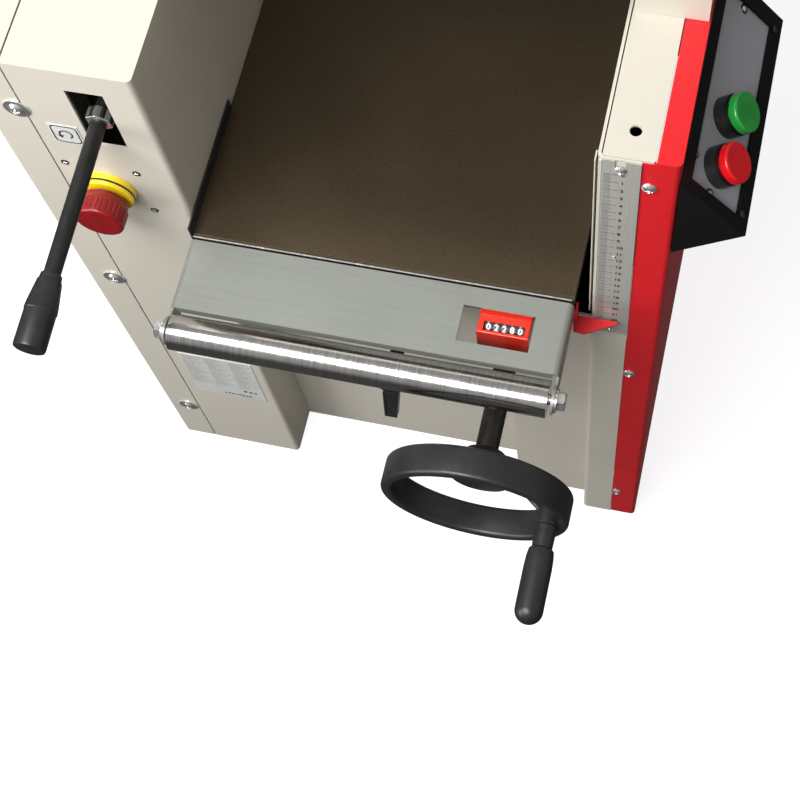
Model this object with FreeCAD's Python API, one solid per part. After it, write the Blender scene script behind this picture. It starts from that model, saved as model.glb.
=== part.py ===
"""Floor-standing thickness planer, about 300 mm wide.

Frame: millimetres, +Z up, +X to the right of the operator, +Y in the feed
direction.  The origin is the centre of the four floor bolts at floor level.
Each function below makes the solids of one sub-assembly and adds them to NODES.
"""
import FreeCAD, Part
import math
import os

from FreeCAD import Vector

# ---------------------------------------------------------------- driving sizes
BODY_WIDTH = 490.0            # across the two side covers
BODY_DEPTH = 560.0            # front plane to back plane
COLUMN_TOP = 717.0            # height of the flat tops of the two columns
SHEET = 2.0                   # body sheet thickness
BEND = 4.0                    # outside radius of a sheet bend
GAP = 0.3                     # clearance between pieces that move apart

TABLE_WIDTH = 297.5
TABLE_LENGTH = 580.0
TABLE_TOP = 522.0             # height of the table at the stored reading
TABLE_PLATE = 14.0
RIB_DEPTH = 34.0

CUT_RADIUS = 36.0             # knife tip circle
CUT_BOTTOM = 740.0            # lowest point of the knife tip circle
FEED_RADIUS = 18.0            # feed rollers
FEED_DROP = 2.0               # feed rollers hang this far below the cutting circle
FEED_OFFSET = 68.0            # feed rollers, in front of and behind the cutter

WHEEL_RADIUS = 71.5           # handwheel
WHEEL_WIDTH = 24.0
SHAFT_RADIUS = 7.5            # handwheel shaft inside the machine
SLEEVE_RADIUS = 8.8           # the same shaft from the handwheel to the counter
SCREW_RADIUS = 12.0           # lift screw
GUIDE_RADIUS = 45.0           # round guide column under the table

# ---------------------------------------------------------------- derived places
SIDE = BODY_WIDTH / 2
FRONT = -BODY_DEPTH / 2
BACK = BODY_DEPTH / 2
LEFT_SEAM = -210.5            # joint between left side cover and left column
LEFT_INNER = -117.0           # left column wall, on the workpiece side
RIGHT_INNER = 192.0           # right column wall, on the workpiece side
RIGHT_SEAM = 220.6            # joint between right column and right side cover
TOP_SEAM = 229.2              # the same joint on the top of the right column
MID_PANEL = FRONT + 46        # face of the wide front panel
STEP_PANEL = FRONT + 16.5     # face of the narrow front panel
STEP_X = 120.5                # where the two front panels meet
PANEL_TOP = 438.0
CUT_Z = CUT_BOTTOM + CUT_RADIUS
FEED_Z = CUT_BOTTOM - FEED_DROP + FEED_RADIUS
TABLE_X0 = LEFT_INNER + 0.5
TABLE_X1 = TABLE_X0 + TABLE_WIDTH
TABLE_MID = 32.5              # X of the guide column
HEAD_X0 = -150.0              # head castings, left and right
HEAD_X1 = 197.0
HEAD_THICK = 26.0
FINGER_Y, FINGER_Z = -120.0, 786.0   # cross shaft of the anti-kickback fingers
WHEEL_X, WHEEL_Z = 135.0, 462.0
WHEEL_FRONT = FRONT - 164.5   # front edge of the handwheel rim
SCREW_Y = -60.0
ROLLER_RADIUS = 14.0          # table extension rollers
ROLLER_OUT = 87.0             # roller axis, outside the front or back plane
ROLLER_Z = TABLE_TOP - 11.0
EXT_X0, EXT_X1 = -117.0, 181.4       # side faces of the table extensions
EXT_NEAR, EXT_FAR = 13.0, 71.0       # edges of the extension deck, outside the body plane
CRANK_ANGLE = math.radians(-4)       # place of the crank handle round the wheel

NODES = {}

X, Y, Z = Vector(1, 0, 0), Vector(0, 1, 0), Vector(0, 0, 1)


# ---------------------------------------------------------------- small helpers
def box(x0, x1, y0, y1, z0, z1):
    """Axis-aligned box between two corners."""
    return Part.makeBox(x1 - x0, y1 - y0, z1 - z0, Vector(x0, y0, z0))


def rod(start, direction, length, radius):
    """Solid cylinder from a start point."""
    return Part.makeCylinder(radius, length, Vector(*start), direction)


def tube(start, direction, length, outer, inner):
    """Cylinder with a bore right through it."""
    return rod(start, direction, length, outer).cut(rod(start, direction, length, inner))


def cone(start, direction, length, radius0, radius1):
    """Truncated cone from a start point."""
    return Part.makeCone(radius0, radius1, length, Vector(*start), direction)


def cut(shape, *tools):
    """Shape less each tool in turn."""
    for tool in tools:
        shape = shape.cut(tool)
    return shape


def join(first, *others):
    """One solid from touching pieces."""
    shape = first
    for other in others:
        shape = shape.fuse(other)
    return shape.removeSplitter()


def add(name, *shapes):
    """Store the solids of one node."""
    solids = []
    for shape in shapes:
        solids.extend(shape.Solids)
    NODES[name] = Part.makeCompound(solids) if len(solids) > 1 else solids[0]


def vertical_edges(shape, x):
    """The upright edges of a box that stand at the given X."""
    found = []
    for edge in shape.Edges:
        box_of = edge.BoundBox
        if box_of.XLength < 0.01 and box_of.YLength < 0.01 and abs(box_of.XMin - x) < 0.01:
            found.append(edge)
    return found


def top_edges(shape, z):
    """The two edges of a box that run along Y at the given height."""
    found = []
    for edge in shape.Edges:
        box_of = edge.BoundBox
        if box_of.XLength < 0.01 and box_of.ZLength < 0.01 and abs(box_of.ZMin - z) < 0.01:
            found.append(edge)
    return found


def extrude_xz(points, y0, y1):
    """Prism along Y from an outline in the XZ plane."""
    wire = Part.makePolygon([Vector(px, y0, pz) for px, pz in points + points[:1]])
    return Part.Face(wire).extrude(Vector(0, y1 - y0, 0))


def extrude_yz(points, x0, x1):
    """Prism along X from an outline in the YZ plane."""
    wire = Part.makePolygon([Vector(x0, py, pz) for py, pz in points + points[:1]])
    return Part.Face(wire).extrude(Vector(x1 - x0, 0, 0))


def extrude_xy(points, z0, z1):
    """Prism along Z from an outline in the XY plane."""
    wire = Part.makePolygon([Vector(px, py, z0) for px, py in points + points[:1]])
    return Part.Face(wire).extrude(Vector(0, 0, z1 - z0))


def hexagon(start, direction, length, flats):
    """Hexagonal prism, the head of a bolt."""
    centre = Vector(*start)
    side = X if abs(direction.dot(X)) < 0.5 else Y
    third = direction.cross(side)
    radius = flats / 2 / math.cos(math.pi / 6)
    corners = []
    for k in range(7):
        angle = k * math.pi / 3
        corners.append(centre + side * (radius * math.cos(angle)) + third * (radius * math.sin(angle)))
    return Part.Face(Part.makePolygon(corners)).extrude(direction * length)


def pan_screw(x, y, z, radius, height):
    """Domed screw head on a face that looks towards -Y, with a cross recess."""
    head = Part.makeSphere(radius * 1.25, Vector(x, y + radius * 1.25 - height, z))
    head = head.common(rod((x, y, z), -Y, height, radius))
    arm = radius * 0.55
    slot = radius * 0.13
    recess = join(box(x - arm, x + arm, y - height, y - height * 0.5, z - slot, z + slot),
                  box(x - slot, x + slot, y - height, y - height * 0.5, z - arm, z + arm))
    return head.cut(recess)


# ---------------------------------------------------------------- base
def build_base():
    """Floor rails with the bolt holes, cross rails and the floor plate."""
    hole = 5.5
    pieces = []
    for side in (-1, 1):
        outer, inner = side * 242.5, side * 202.5
        leg = side * 238.5
        foot = box(min(outer, inner), max(outer, inner), -275, 275, 0, 4)
        web = box(min(outer, leg), max(outer, leg), -275, 275, 0, 40)
        rail = join(foot, web)
        for y in (-240, 240):
            rail = rail.cut(rod((side * 220, y, -1), Z, 6, hole))
        pieces.append(rail)

    x0, x1 = LEFT_INNER + 0.2, RIGHT_INNER - 0.2
    for sign in (-1, 1):
        y_web, y_edge = sign * 229.0, sign * 189.0
        foot = box(x0, x1, min(y_web, y_edge), max(y_web, y_edge), 0, 4)
        web = box(x0, x1, min(y_web, sign * 225.0), max(y_web, sign * 225.0), 0, 40)
        pieces.append(join(foot, web))
    pieces.append(box(x0, x1, -229, 229, 40, 46))
    add("base_frame", *pieces)


# ---------------------------------------------------------------- columns and panels
def channel(x_open, x_wall, z0, z1, top_open):
    """Folded column: a wall at x_wall and flanges front and back that end at x_open."""
    low, high = min(x_open, x_wall), max(x_open, x_wall)
    outer = box(low, high, FRONT, BACK, z0, z1)
    outer = outer.makeFillet(BEND, vertical_edges(outer, x_wall))
    side = 1 if x_wall > x_open else -1
    in_wall = x_wall - side * SHEET
    far = x_open - side * 30
    top = z1 + 1 if top_open else z1 - SHEET
    inner = box(min(far, in_wall), max(far, in_wall), FRONT + SHEET, BACK - SHEET, z0 - 1, top)
    inner = inner.makeFillet(BEND - SHEET, vertical_edges(inner, in_wall))
    return outer.cut(inner)


def build_left_column():
    """Wide left column with the lever slot, and its removable side cover."""
    shell = channel(LEFT_SEAM, LEFT_INNER, 0, COLUMN_TOP, False)
    lever_slot = box(-171, -143, FRONT - 1, FRONT + SHEET + 1, 625, 694)
    stop_hole = rod((-174.5, FRONT - 1, 561), Y, 4, 11.2)
    shaft_hole = rod((LEFT_INNER - 4, 150, 150), X, 6, 30)
    belt_hole = box(-200, -160, -60, 60, COLUMN_TOP - 4, COLUMN_TOP + 1)
    add("left_column", cut(shell, lever_slot, stop_hole, shaft_hole, belt_hole))

    cover = channel(LEFT_SEAM - 1.4, -SIDE, 0, COLUMN_TOP, False)
    vents = []
    for row in range(6):
        z = 90 + row * 16
        vents.append(box(-SIDE - 1, -SIDE + SHEET + 1, 110, 190, z, z + 5))
    add("left_side_cover", cut(cover, *vents))


def build_right_column():
    """Narrow right column and its removable side cover."""
    shell = channel(RIGHT_SEAM - 0.3, RIGHT_INNER, 0, COLUMN_TOP - SHEET, True)
    add("right_column", shell)

    plate = box(RIGHT_INNER + 3, TOP_SEAM - 0.7, FRONT + 0.6, BACK - 1, COLUMN_TOP - SHEET + 0.05, COLUMN_TOP)
    plate_x, plate_y = TOP_SEAM - 0.7, FRONT + 0.6
    clip = extrude_xy([(plate_x - 2, plate_y - 1), (plate_x + 1, plate_y - 1), (plate_x + 1, plate_y + 1.5),
                       (plate_x, plate_y + 1.5)], COLUMN_TOP - 5, COLUMN_TOP + 5)
    plate = plate.cut(clip)
    bolt_hole = rod((212.5, FRONT + 21, COLUMN_TOP - 5), Z, 10, 4)
    add("right_top_plate", plate.cut(bolt_hole))

    cover = channel(RIGHT_SEAM, SIDE, 2, COLUMN_TOP, False)
    step = box(RIGHT_SEAM - 1, TOP_SEAM, FRONT - 1, BACK + 1, COLUMN_TOP - SHEET, COLUMN_TOP + 1)
    add("right_side_cover", cover.cut(step))


def build_panels():
    """The stepped front panel and the rear panel between the columns."""
    middle = box(LEFT_INNER + 0.2, STEP_X + SHEET, MID_PANEL, MID_PANEL + SHEET, 0, PANEL_TOP)
    clamp_hole = rod((TABLE_MID, MID_PANEL - 1, 370), Y, 4, 8)
    face = box(STEP_X, RIGHT_INNER - 0.2, STEP_PANEL, STEP_PANEL + SHEET, 0, PANEL_TOP)
    turn = box(STEP_X, STEP_X + SHEET, STEP_PANEL, MID_PANEL + SHEET, 0, PANEL_TOP)
    add("front_panel", join(middle.cut(clamp_hole), turn, face))

    rear = box(LEFT_INNER + 0.2, RIGHT_INNER - 0.2, BACK - 18, BACK - 16, 0, PANEL_TOP)
    vents = []
    for row in range(5):
        z = 120 + row * 16
        vents.append(box(-60, 60, BACK - 19, BACK - 15, z, z + 5))
    add("rear_panel", cut(rear, *vents))


# ---------------------------------------------------------------- head: cutter and feed
def build_head_castings():
    """Two cast side plates on the column tops that carry cutter and rollers."""
    low, high = COLUMN_TOP + 0.1, 836.0
    plates = []
    for x0 in (HEAD_X0, HEAD_X1):
        x1 = x0 + HEAD_THICK
        outline = [(-150, low), (150, low), (150, 790), (95, high), (-95, high), (-150, 805)]
        plate = extrude_yz(outline, x0, x1)
        plate = plate.cut(rod((x0 - 1, 0, CUT_Z), X, HEAD_THICK + 2, 26))
        for y in (-FEED_OFFSET, FEED_OFFSET):
            plate = plate.cut(box(x0 - 1, x1 + 1, y - 15, y + 15, FEED_Z - 14, FEED_Z + 30))
        plate = plate.cut(rod((x0 - 1, FINGER_Y, FINGER_Z), X, HEAD_THICK + 2, 6))
        plates.append(plate)
    add("head_castings", *plates)

    bearings = []
    for x0 in (HEAD_X0 + 5, HEAD_X1 + 5):
        bearings.append(tube((x0, 0, CUT_Z), X, 16, 25.95, 12.55))
    add("cutter_bearings", *bearings)

    length = HEAD_X1 - HEAD_X0 - HEAD_THICK
    bars = []
    for y in (-45, 45):
        low_edge = CUT_BOTTOM + 6
        side = 1 if y > 0 else -1
        outline = [(y, low_edge), (y + side * 5, low_edge), (y + side * 5, low_edge + 24),
                   (y - side * 3, low_edge + 46), (y - side * 6, low_edge + 46), (y, low_edge + 22)]
        bars.append(extrude_yz(outline, HEAD_X0 + HEAD_THICK, HEAD_X0 + HEAD_THICK + length))
    shaft_length = HEAD_X1 + HEAD_THICK - HEAD_X0
    bars.append(rod((HEAD_X0, FINGER_Y, FINGER_Z), X, shaft_length, 5.98))
    add("head_cross_bars", *bars)


def build_cutterhead():
    """Three-knife cutter block, its knives, gib bars and pulley."""
    x0, x1 = HEAD_X0 + HEAD_THICK + 3, HEAD_X1 - 3
    block = rod((x0, 0, CUT_Z), X, x1 - x0, CUT_RADIUS - 1.5)
    journal = rod((-192, 0, CUT_Z), X, HEAD_X1 + HEAD_THICK + 192, 12.5)
    block = join(block, journal)
    knives, gibs = [], []
    for k in range(3):
        turn = 120.0 * k + 30
        pocket = box(x0 - 1, x1 + 1, -6, 6, CUT_Z + 15, CUT_Z + 40)
        knife = box(x0 + 1, x1 - 1, -5.9, -2.9, CUT_Z + 15.5, CUT_Z + CUT_RADIUS)
        gib = box(x0 + 1, x1 - 1, -2.8, 5.9, CUT_Z + 15.5, CUT_Z + CUT_RADIUS - 3)
        for shape in (pocket, knife, gib):
            shape.rotate(Vector(0, 0, CUT_Z), X, turn)
        block = block.cut(pocket)
        knives.append(knife)
        gibs.append(gib)
    # the tip corner of a knife is the farthest point, so it is trimmed to the circle
    ring = rod((x0, 0, CUT_Z), X, x1 - x0, CUT_RADIUS)
    groove = tube((-187, 0, CUT_Z), X, 14, 31.5, 28)
    pulley = tube((-190, 0, CUT_Z), X, 20, 31, 12.55).cut(groove)
    add("cutter_block", block, pulley)
    add("planer_knives", *[knife.common(ring) for knife in knives])
    add("knife_gibs", *gibs)


def build_feed():
    """Spring-loaded feed rollers in their blocks, with the chain that drives them."""
    x_chain = HEAD_X1 + HEAD_THICK + 6
    for name, y in (("infeed", -FEED_OFFSET), ("outfeed", FEED_OFFSET)):
        blocks, springs = [], []
        for x0 in (HEAD_X0, HEAD_X1):
            block = box(x0, x0 + HEAD_THICK, y - 14.9, y + 14.9, FEED_Z - 13.9, FEED_Z + 14)
            blocks.append(block.cut(rod((x0 - 1, y, FEED_Z), X, HEAD_THICK + 2, 9.05)))
            coil = tube((x0 + HEAD_THICK / 2, y, FEED_Z + 14.1), Z, 15.7, 7, 5)
            springs.append(coil)
        add(name + "_bearing_blocks", *blocks)
        add(name + "_springs", *springs)

        x0, x1 = HEAD_X0 + HEAD_THICK + 3, HEAD_X1 - 3
        body = rod((x0, y, FEED_Z), X, x1 - x0, FEED_RADIUS)
        shaft = rod((HEAD_X0, y, FEED_Z), X, x_chain + 6 - HEAD_X0, 9)
        roller = join(body, shaft)
        if name == "infeed":
            for k in range(12):
                flute = box(x0 - 1, x1 + 1, -1.2, 1.2, FEED_Z + FEED_RADIUS - 1.6, FEED_Z + FEED_RADIUS + 1)
                flute.translate(Vector(0, y, 0))
                flute.rotate(Vector(0, y, FEED_Z), X, 30 * k)
                roller = roller.cut(flute)
        sprocket = tube((x_chain - 1, y, FEED_Z), X, 6, 16, 9.02)
        add(name + "_roller", roller, sprocket)

    # roller chain round both sprockets; it has slack above for the rollers to rise
    centre_z, radius, thick = FEED_Z + 1.8, 18.4, 4.0
    slab = box(x_chain, x_chain + 4, -FEED_OFFSET, FEED_OFFSET, centre_z - radius - thick,
               centre_z + radius + thick)
    hollow = box(x_chain - 1, x_chain + 5, -FEED_OFFSET, FEED_OFFSET, centre_z - radius, centre_z + radius)
    outer, inner = slab, hollow
    for y in (-FEED_OFFSET, FEED_OFFSET):
        outer = outer.fuse(rod((x_chain, y, centre_z), X, 4, radius + thick))
        inner = inner.fuse(rod((x_chain - 1, y, centre_z), X, 6, radius))
    add("feed_chain", outer.cut(inner).removeSplitter())


def build_kickback():
    """Anti-kickback fingers hanging from their cross shaft."""
    y, z = FINGER_Y, FINGER_Z
    fingers = []
    x0 = HEAD_X0 + HEAD_THICK + 8
    pitch = 17.6
    for k in range(18):
        x = x0 + k * pitch
        eye = rod((x, y, z), X, 8, 11)
        blade = extrude_yz([(y - 9, z), (y + 8, z), (y + 5, z - 42), (y - 3, z - 48.6)], x, x + 8)
        finger = join(eye, blade).cut(rod((x - 1, y, z), X, 10, 6.03))
        fingers.append(finger)
    add("antikickback_fingers", *fingers)


def build_hood():
    """Sheet hood over the head, with the collar for the dust hose."""
    low, top = COLUMN_TOP + 0.2, 862.0
    y0, y1 = -172.0, 172.0
    outline = [(y0, 744), (y0, 812), (y0 + 52, top), (y1 - 52, top), (y1, 812), (y1, 744)]
    x0, x1 = -SIDE + 1, SIDE - 1
    outer = extrude_yz(outline, x0, x1)
    inner_line = [(y0 + 2, 740), (y0 + 2, 811), (y0 + 53, top - 2), (y1 - 53, top - 2),
                  (y1 - 2, 811), (y1 - 2, 740)]
    inner = extrude_yz(inner_line, x0 + SHEET, x1 - SHEET)
    hood = outer.cut(inner)
    for end in (x0, x1 - SHEET):
        cheek = box(end, end + SHEET, y0, y1, low, 744)
        hood = hood.fuse(cheek)
    # short aprons close the head at the front and back of each column
    for x_a, x_b in ((x0, LEFT_INNER - 2), (RIGHT_INNER + 4, x1)):
        for y in (y0, y1 - SHEET):
            hood = hood.fuse(box(x_a, x_b, y, y + SHEET, low, 744))
    port = rod((TABLE_MID, 20, top - 10), Z, 20, 48)
    hood = hood.removeSplitter().cut(port)
    for x in (-60, 125):
        hood = hood.cut(rod((x, y0 - 1, 785), Y, 4, 3))
    add("hood", hood)

    flange = tube((TABLE_MID, 20, top), Z, 3, 66, 48)
    collar = tube((TABLE_MID, 20, top), Z, 58, 50, 48)
    add("dust_collar", join(flange, collar))


# ---------------------------------------------------------------- drive
def build_drive():
    """Motor in the base, its pulley and the belt up to the cutter."""
    y, z = 150.0, 150.0
    x_face = LEFT_INNER + 8.3
    plate = box(LEFT_INNER + 0.2, x_face, y - 78, y + 72, z - 90, z + 90)
    plate = plate.cut(rod((LEFT_INNER, y, z), X, 20, 30))
    shell = rod((x_face + 0.1, y, z), X, 190, 72)
    fins = []
    for k in range(16):
        fin = box(x_face + 22, x_face + 150, -2.5, 2.5, z + 66, z + 74)
        fin.translate(Vector(0, y, 0))
        fin.rotate(Vector(0, y, z), X, 22.5 * k)
        fins.append(fin)
    bore = rod((x_face - 1, y, z), X, 120, 12.05)
    terminals = box(x_face + 50, x_face + 130, y - 40, y + 40, z + 74.2, z + 104)
    add("motor", cut(shell, *fins, bore), plate, terminals)
    shaft = rod((-192, y, z), X, x_face + 90 + 192, 12)
    groove = tube((-187, y, z), X, 14, 44, 40)
    pulley = tube((-190, y, z), X, 20, 43.5, 12.05).cut(groove)
    add("motor_shaft", shaft, pulley)
    add("drive_belt", belt_loop((y, z, 40 + GAP), (0, CUT_Z, 28 + GAP), 4.0, -186, -174))


def belt_loop(wheel_a, wheel_b, thick, x0, x1):
    """Closed belt round two wheels, each given as (y, z, radius)."""
    def loop(extra):
        (ya, za, ra), (yb, zb, rb) = wheel_a, wheel_b
        ra, rb = ra + extra, rb + extra
        span = math.hypot(yb - ya, zb - za)
        heading = math.atan2(zb - za, yb - ya)
        lean = math.acos((ra - rb) / span)

        def point(yc, zc, radius, angle):
            return Vector(x0, yc + radius * math.cos(angle), zc + radius * math.sin(angle))

        a1, a2 = point(ya, za, ra, heading + lean), point(ya, za, ra, heading - lean)
        b1, b2 = point(yb, zb, rb, heading + lean), point(yb, zb, rb, heading - lean)
        far_a = point(ya, za, ra, heading + math.pi)
        far_b = point(yb, zb, rb, heading)
        edges = [Part.Arc(a1, far_a, a2).toShape(), Part.LineSegment(a2, b2).toShape(),
                 Part.Arc(b2, far_b, b1).toShape(), Part.LineSegment(b1, a1).toShape()]
        return Part.Face(Part.Wire(edges)).extrude(Vector(x1 - x0, 0, 0))
    return loop(thick).cut(loop(0))


# ---------------------------------------------------------------- table and lift
def build_table():
    """Cast table with ribs, its end sheets, rollers and their bolts."""
    y0, y1 = -TABLE_LENGTH / 2, TABLE_LENGTH / 2
    under = TABLE_TOP - TABLE_PLATE
    low = under - RIB_DEPTH
    plate = box(TABLE_X0, TABLE_X1, y0, y1, under, TABLE_TOP)
    front_edge = [e for e in plate.Edges if e.BoundBox.YLength < 0.01 and e.BoundBox.ZLength < 0.01
                  and abs(e.BoundBox.ZMin - TABLE_TOP) < 0.01]
    plate = plate.makeChamfer(1.5, front_edge)
    frame = box(TABLE_X0 + 6, TABLE_X1 - 6, y0 + 8, y1 - 8, low, under)
    frame = frame.cut(box(TABLE_X0 + 16, TABLE_X1 - 16, y0 + 18, y1 - 18, low - 1, under + 1))
    ribs = []
    for y in (-165, 120, 205):
        ribs.append(box(TABLE_X0 + 16, TABLE_X1 - 16, y - 4, y + 4, low + 8, under))
    table = join(plate, frame, *ribs)
    table = table.cut(box(WHEEL_X - 24, WHEEL_X + 24, y0, y0 + 30, low - 1, under))
    # thin guide strip that stands up along the front of the table's left edge
    guide = box(TABLE_X0, TABLE_X0 + 1.2, y0 - 1.5, -176, TABLE_TOP + 0.05, TABLE_TOP + 12)
    add("table", table, guide)

    add("guide_column", tube((TABLE_MID, 0, 120), Z, under - 120, GUIDE_RADIUS, 34))

    sheets, bolts = [], []
    for name, sign in (("front", -1), ("rear", 1)):
        sheets.extend(extension_sheet(sign))
        bolts.extend(roller_fixings(sign))
        axis_y = sign * (BACK + ROLLER_OUT)
        x0, x1 = EXT_X0 + SHEET + 2.5, EXT_X1 - SHEET - 2.5
        roller = rod((x0, axis_y, ROLLER_Z), X, x1 - x0, ROLLER_RADIUS)
        add(name + "_roller", roller.cut(rod((x0 - 1, axis_y, ROLLER_Z), X, x1 - x0 + 2, 4.05)))
    add("table_extensions", *sheets)
    add("roller_bolts", *bolts)


def extension_sheet(sign):
    """End sheet of the table, folded down at its sides, and its two spacers."""
    def span(a, b):
        """Distances outside the body plane, as a rising pair of Y values."""
        ends = (sign * (BACK + a), sign * (BACK + b))
        return min(ends), max(ends)

    top = TABLE_TOP - 1.5
    bend = 5.0
    low = ROLLER_Z - 15
    y0, y1 = span(EXT_NEAR, EXT_FAR)
    outer = box(EXT_X0, EXT_X1, y0, y1, low, top)
    outer = outer.makeFillet(bend, top_edges(outer, top))
    hollow = box(EXT_X0 + SHEET, EXT_X1 - SHEET, y0 - 1, y1 + 1, low - 1, top - SHEET)
    hollow = hollow.makeFillet(bend - SHEET, top_edges(hollow, top - SHEET))
    axis_y = sign * (BACK + ROLLER_OUT)
    pieces = [outer.cut(hollow)]
    for x in (EXT_X0, EXT_X1 - SHEET):
        arm = box(x, x + SHEET, *span(EXT_FAR, ROLLER_OUT), ROLLER_Z - 9, ROLLER_Z + 5)
        nose = rod((x, axis_y, ROLLER_Z), X, SHEET, 11)
        pieces.append(arm.fuse(nose))
    ya, yb = span(EXT_NEAR, EXT_NEAR + SHEET)
    pieces.append(box(EXT_X0 + bend, EXT_X1 - bend, ya, yb, top - 34, top - 1))
    ya, yb = span(EXT_FAR - SHEET, EXT_FAR)
    pieces.append(box(EXT_X0 + bend, EXT_X1 - bend, ya, yb, top - 8, top - 1))
    sheet = join(*pieces)
    for x in (EXT_X0 - 1, EXT_X1 - SHEET - 1):
        sheet = sheet.cut(rod((x, axis_y, ROLLER_Z), X, SHEET + 2, 4.1))
    if sign < 0:
        sheet = sheet.cut(box(101.7, 155.8, FRONT - 57.8, FRONT - 28.4, top - 5, top + 1))
    ya, yb = span(10.2, EXT_NEAR - 0.1)
    spacers = [box(x - 12, x + 12, ya, yb, top - 30, top - 16) for x in (-80, 60)]
    return [sheet] + spacers


def roller_fixings(sign):
    """The two bolts and washers that carry one extension roller."""
    axis_y = sign * (BACK + ROLLER_OUT)
    fixings = []
    for x, way in ((EXT_X0, -1), (EXT_X1, 1)):
        start = (x + way * 0.05, axis_y, ROLLER_Z)
        fixings.append(tube(start, X * way, 2, 9, 4.1))
        shank = rod((x + way * 2.1, axis_y, ROLLER_Z), X * -way, 30, 4)
        head = hexagon((x + way * 2.1, axis_y, ROLLER_Z), X * way, 6, 13)
        dome = Part.makeCone(7.6, 5.4, 1.6, Vector(x + way * 6.9, axis_y, ROLLER_Z), X * way)
        cap = head.common(rod((x + way * 2.1, axis_y, ROLLER_Z), X * way, 4.8, 7.6).fuse(dome))
        fixings.append(join(shank, cap))
    return fixings


def build_pointer():
    """Folded pointer on the side of the front extension, over the thickness scale."""
    x0 = EXT_X1 + 0.2
    z = TABLE_TOP - 43.0
    tab = box(x0, x0 + 1.5, FRONT - 17, FRONT - 3.5, z, TABLE_TOP - 18)
    points = [(x0, FRONT - 3.5), (213, FRONT - 3.5), (213, FRONT - 5.5), (190, FRONT - 18), (x0, FRONT - 17)]
    wire = Part.makePolygon([Vector(px, py, z) for px, py in points + points[:1]])
    blade = Part.Face(wire).extrude(Z * 1.5)
    add("height_pointer", join(tab, blade))


def build_lift():
    """Guide sleeve, lift screw with its nut and post, bevel gears and shaft."""
    floor = 46.1
    flange = box(TABLE_MID - 72, TABLE_MID + 72, -72, 72, floor, floor + 12)
    sleeve = join(flange, rod((TABLE_MID, 0, floor), Z, 400 - floor, 58))
    boss = rod((TABLE_MID, -76, 370), Y, 30, 16)
    sleeve = join(sleeve, boss)
    sleeve = cut(sleeve, rod((TABLE_MID, 0, floor - 1), Z, 400, GUIDE_RADIUS + 0.05),
                 rod((TABLE_MID, -90, 370), Y, 33, 6.03))
    add("guide_sleeve", sleeve)

    centre = (WHEEL_X, SCREW_Y)
    post = join(tube((*centre, floor), Z, 284, 20, 15), tube((*centre, floor), Z, 8, 29, 15))
    nut = tube((*centre, 330.2), Z, 40, 20, SCREW_RADIUS + 0.05)
    add("lift_nut", nut, post)
    screw = rod((*centre, 90), Z, 351.7, SCREW_RADIUS)
    add("lift_screw", screw, bevel_gear((*centre, WHEEL_Z), -Z))

    x0, x1 = WHEEL_X - 26, WHEEL_X + 26
    under = TABLE_TOP - TABLE_PLATE
    front_wall = box(x0, x1, SCREW_Y - 42, SCREW_Y - 30, 424, under)
    back_wall = box(x0, x1, SCREW_Y + 26, SCREW_Y + 34, 424, under)
    shelf = box(x0, x1, SCREW_Y - 42, SCREW_Y + 34, 424, 434)
    bracket = join(front_wall, back_wall, shelf)
    bracket = cut(bracket, rod((*centre, 420), Z, 20, SCREW_RADIUS + 0.05),
                  rod((WHEEL_X, SCREW_Y - 45, WHEEL_Z), Y, 20, SHAFT_RADIUS + 0.05))

    start = WHEEL_FRONT + 26
    shaft = rod((WHEEL_X, start, WHEEL_Z), Y, SCREW_Y - 8 - start, SHAFT_RADIUS)
    shaft = join(shaft, rod((WHEEL_X, start, WHEEL_Z), Y, FRONT - 20 - start, SLEEVE_RADIUS))
    add("handwheel_shaft", shaft, bevel_gear((WHEEL_X, SCREW_Y, WHEEL_Z), -Y))

    bush_y = -TABLE_LENGTH / 2 + 9
    hanger = box(WHEEL_X - 20, WHEEL_X + 20, bush_y, bush_y + 8, WHEEL_Z - 14, under)
    hanger = hanger.cut(rod((WHEEL_X, bush_y - 1, WHEEL_Z), Y, 10, SHAFT_RADIUS + 0.05))
    add("shaft_brackets", bracket, hanger)


def bevel_gear(apex, direction):
    """Small 1:1 bevel gear whose pitch cone ends at the apex."""
    centre = Vector(*apex)
    near, far = 9.0, 20.0
    gear = Part.makeCone(near - 0.8, far - 0.8, far - near, centre + direction * near, direction)
    bore_radius = SHAFT_RADIUS if abs(direction.y) > 0.5 else 0.0
    if bore_radius:
        gear = gear.cut(rod(tuple(centre + direction * (near - 1)), direction, far, bore_radius))
    side = X
    for k in range(16):
        notch = Part.makeBox(2.4, 2.0, 18, Vector(-1.2, far - 2.6, -9))
        spin = FreeCAD.Rotation(Z, 22.5 * k)
        aim = FreeCAD.Rotation(Z, direction)
        notch.Placement = FreeCAD.Placement(centre + direction * far, aim.multiply(spin))
        gear = gear.cut(notch)
    return gear


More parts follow.
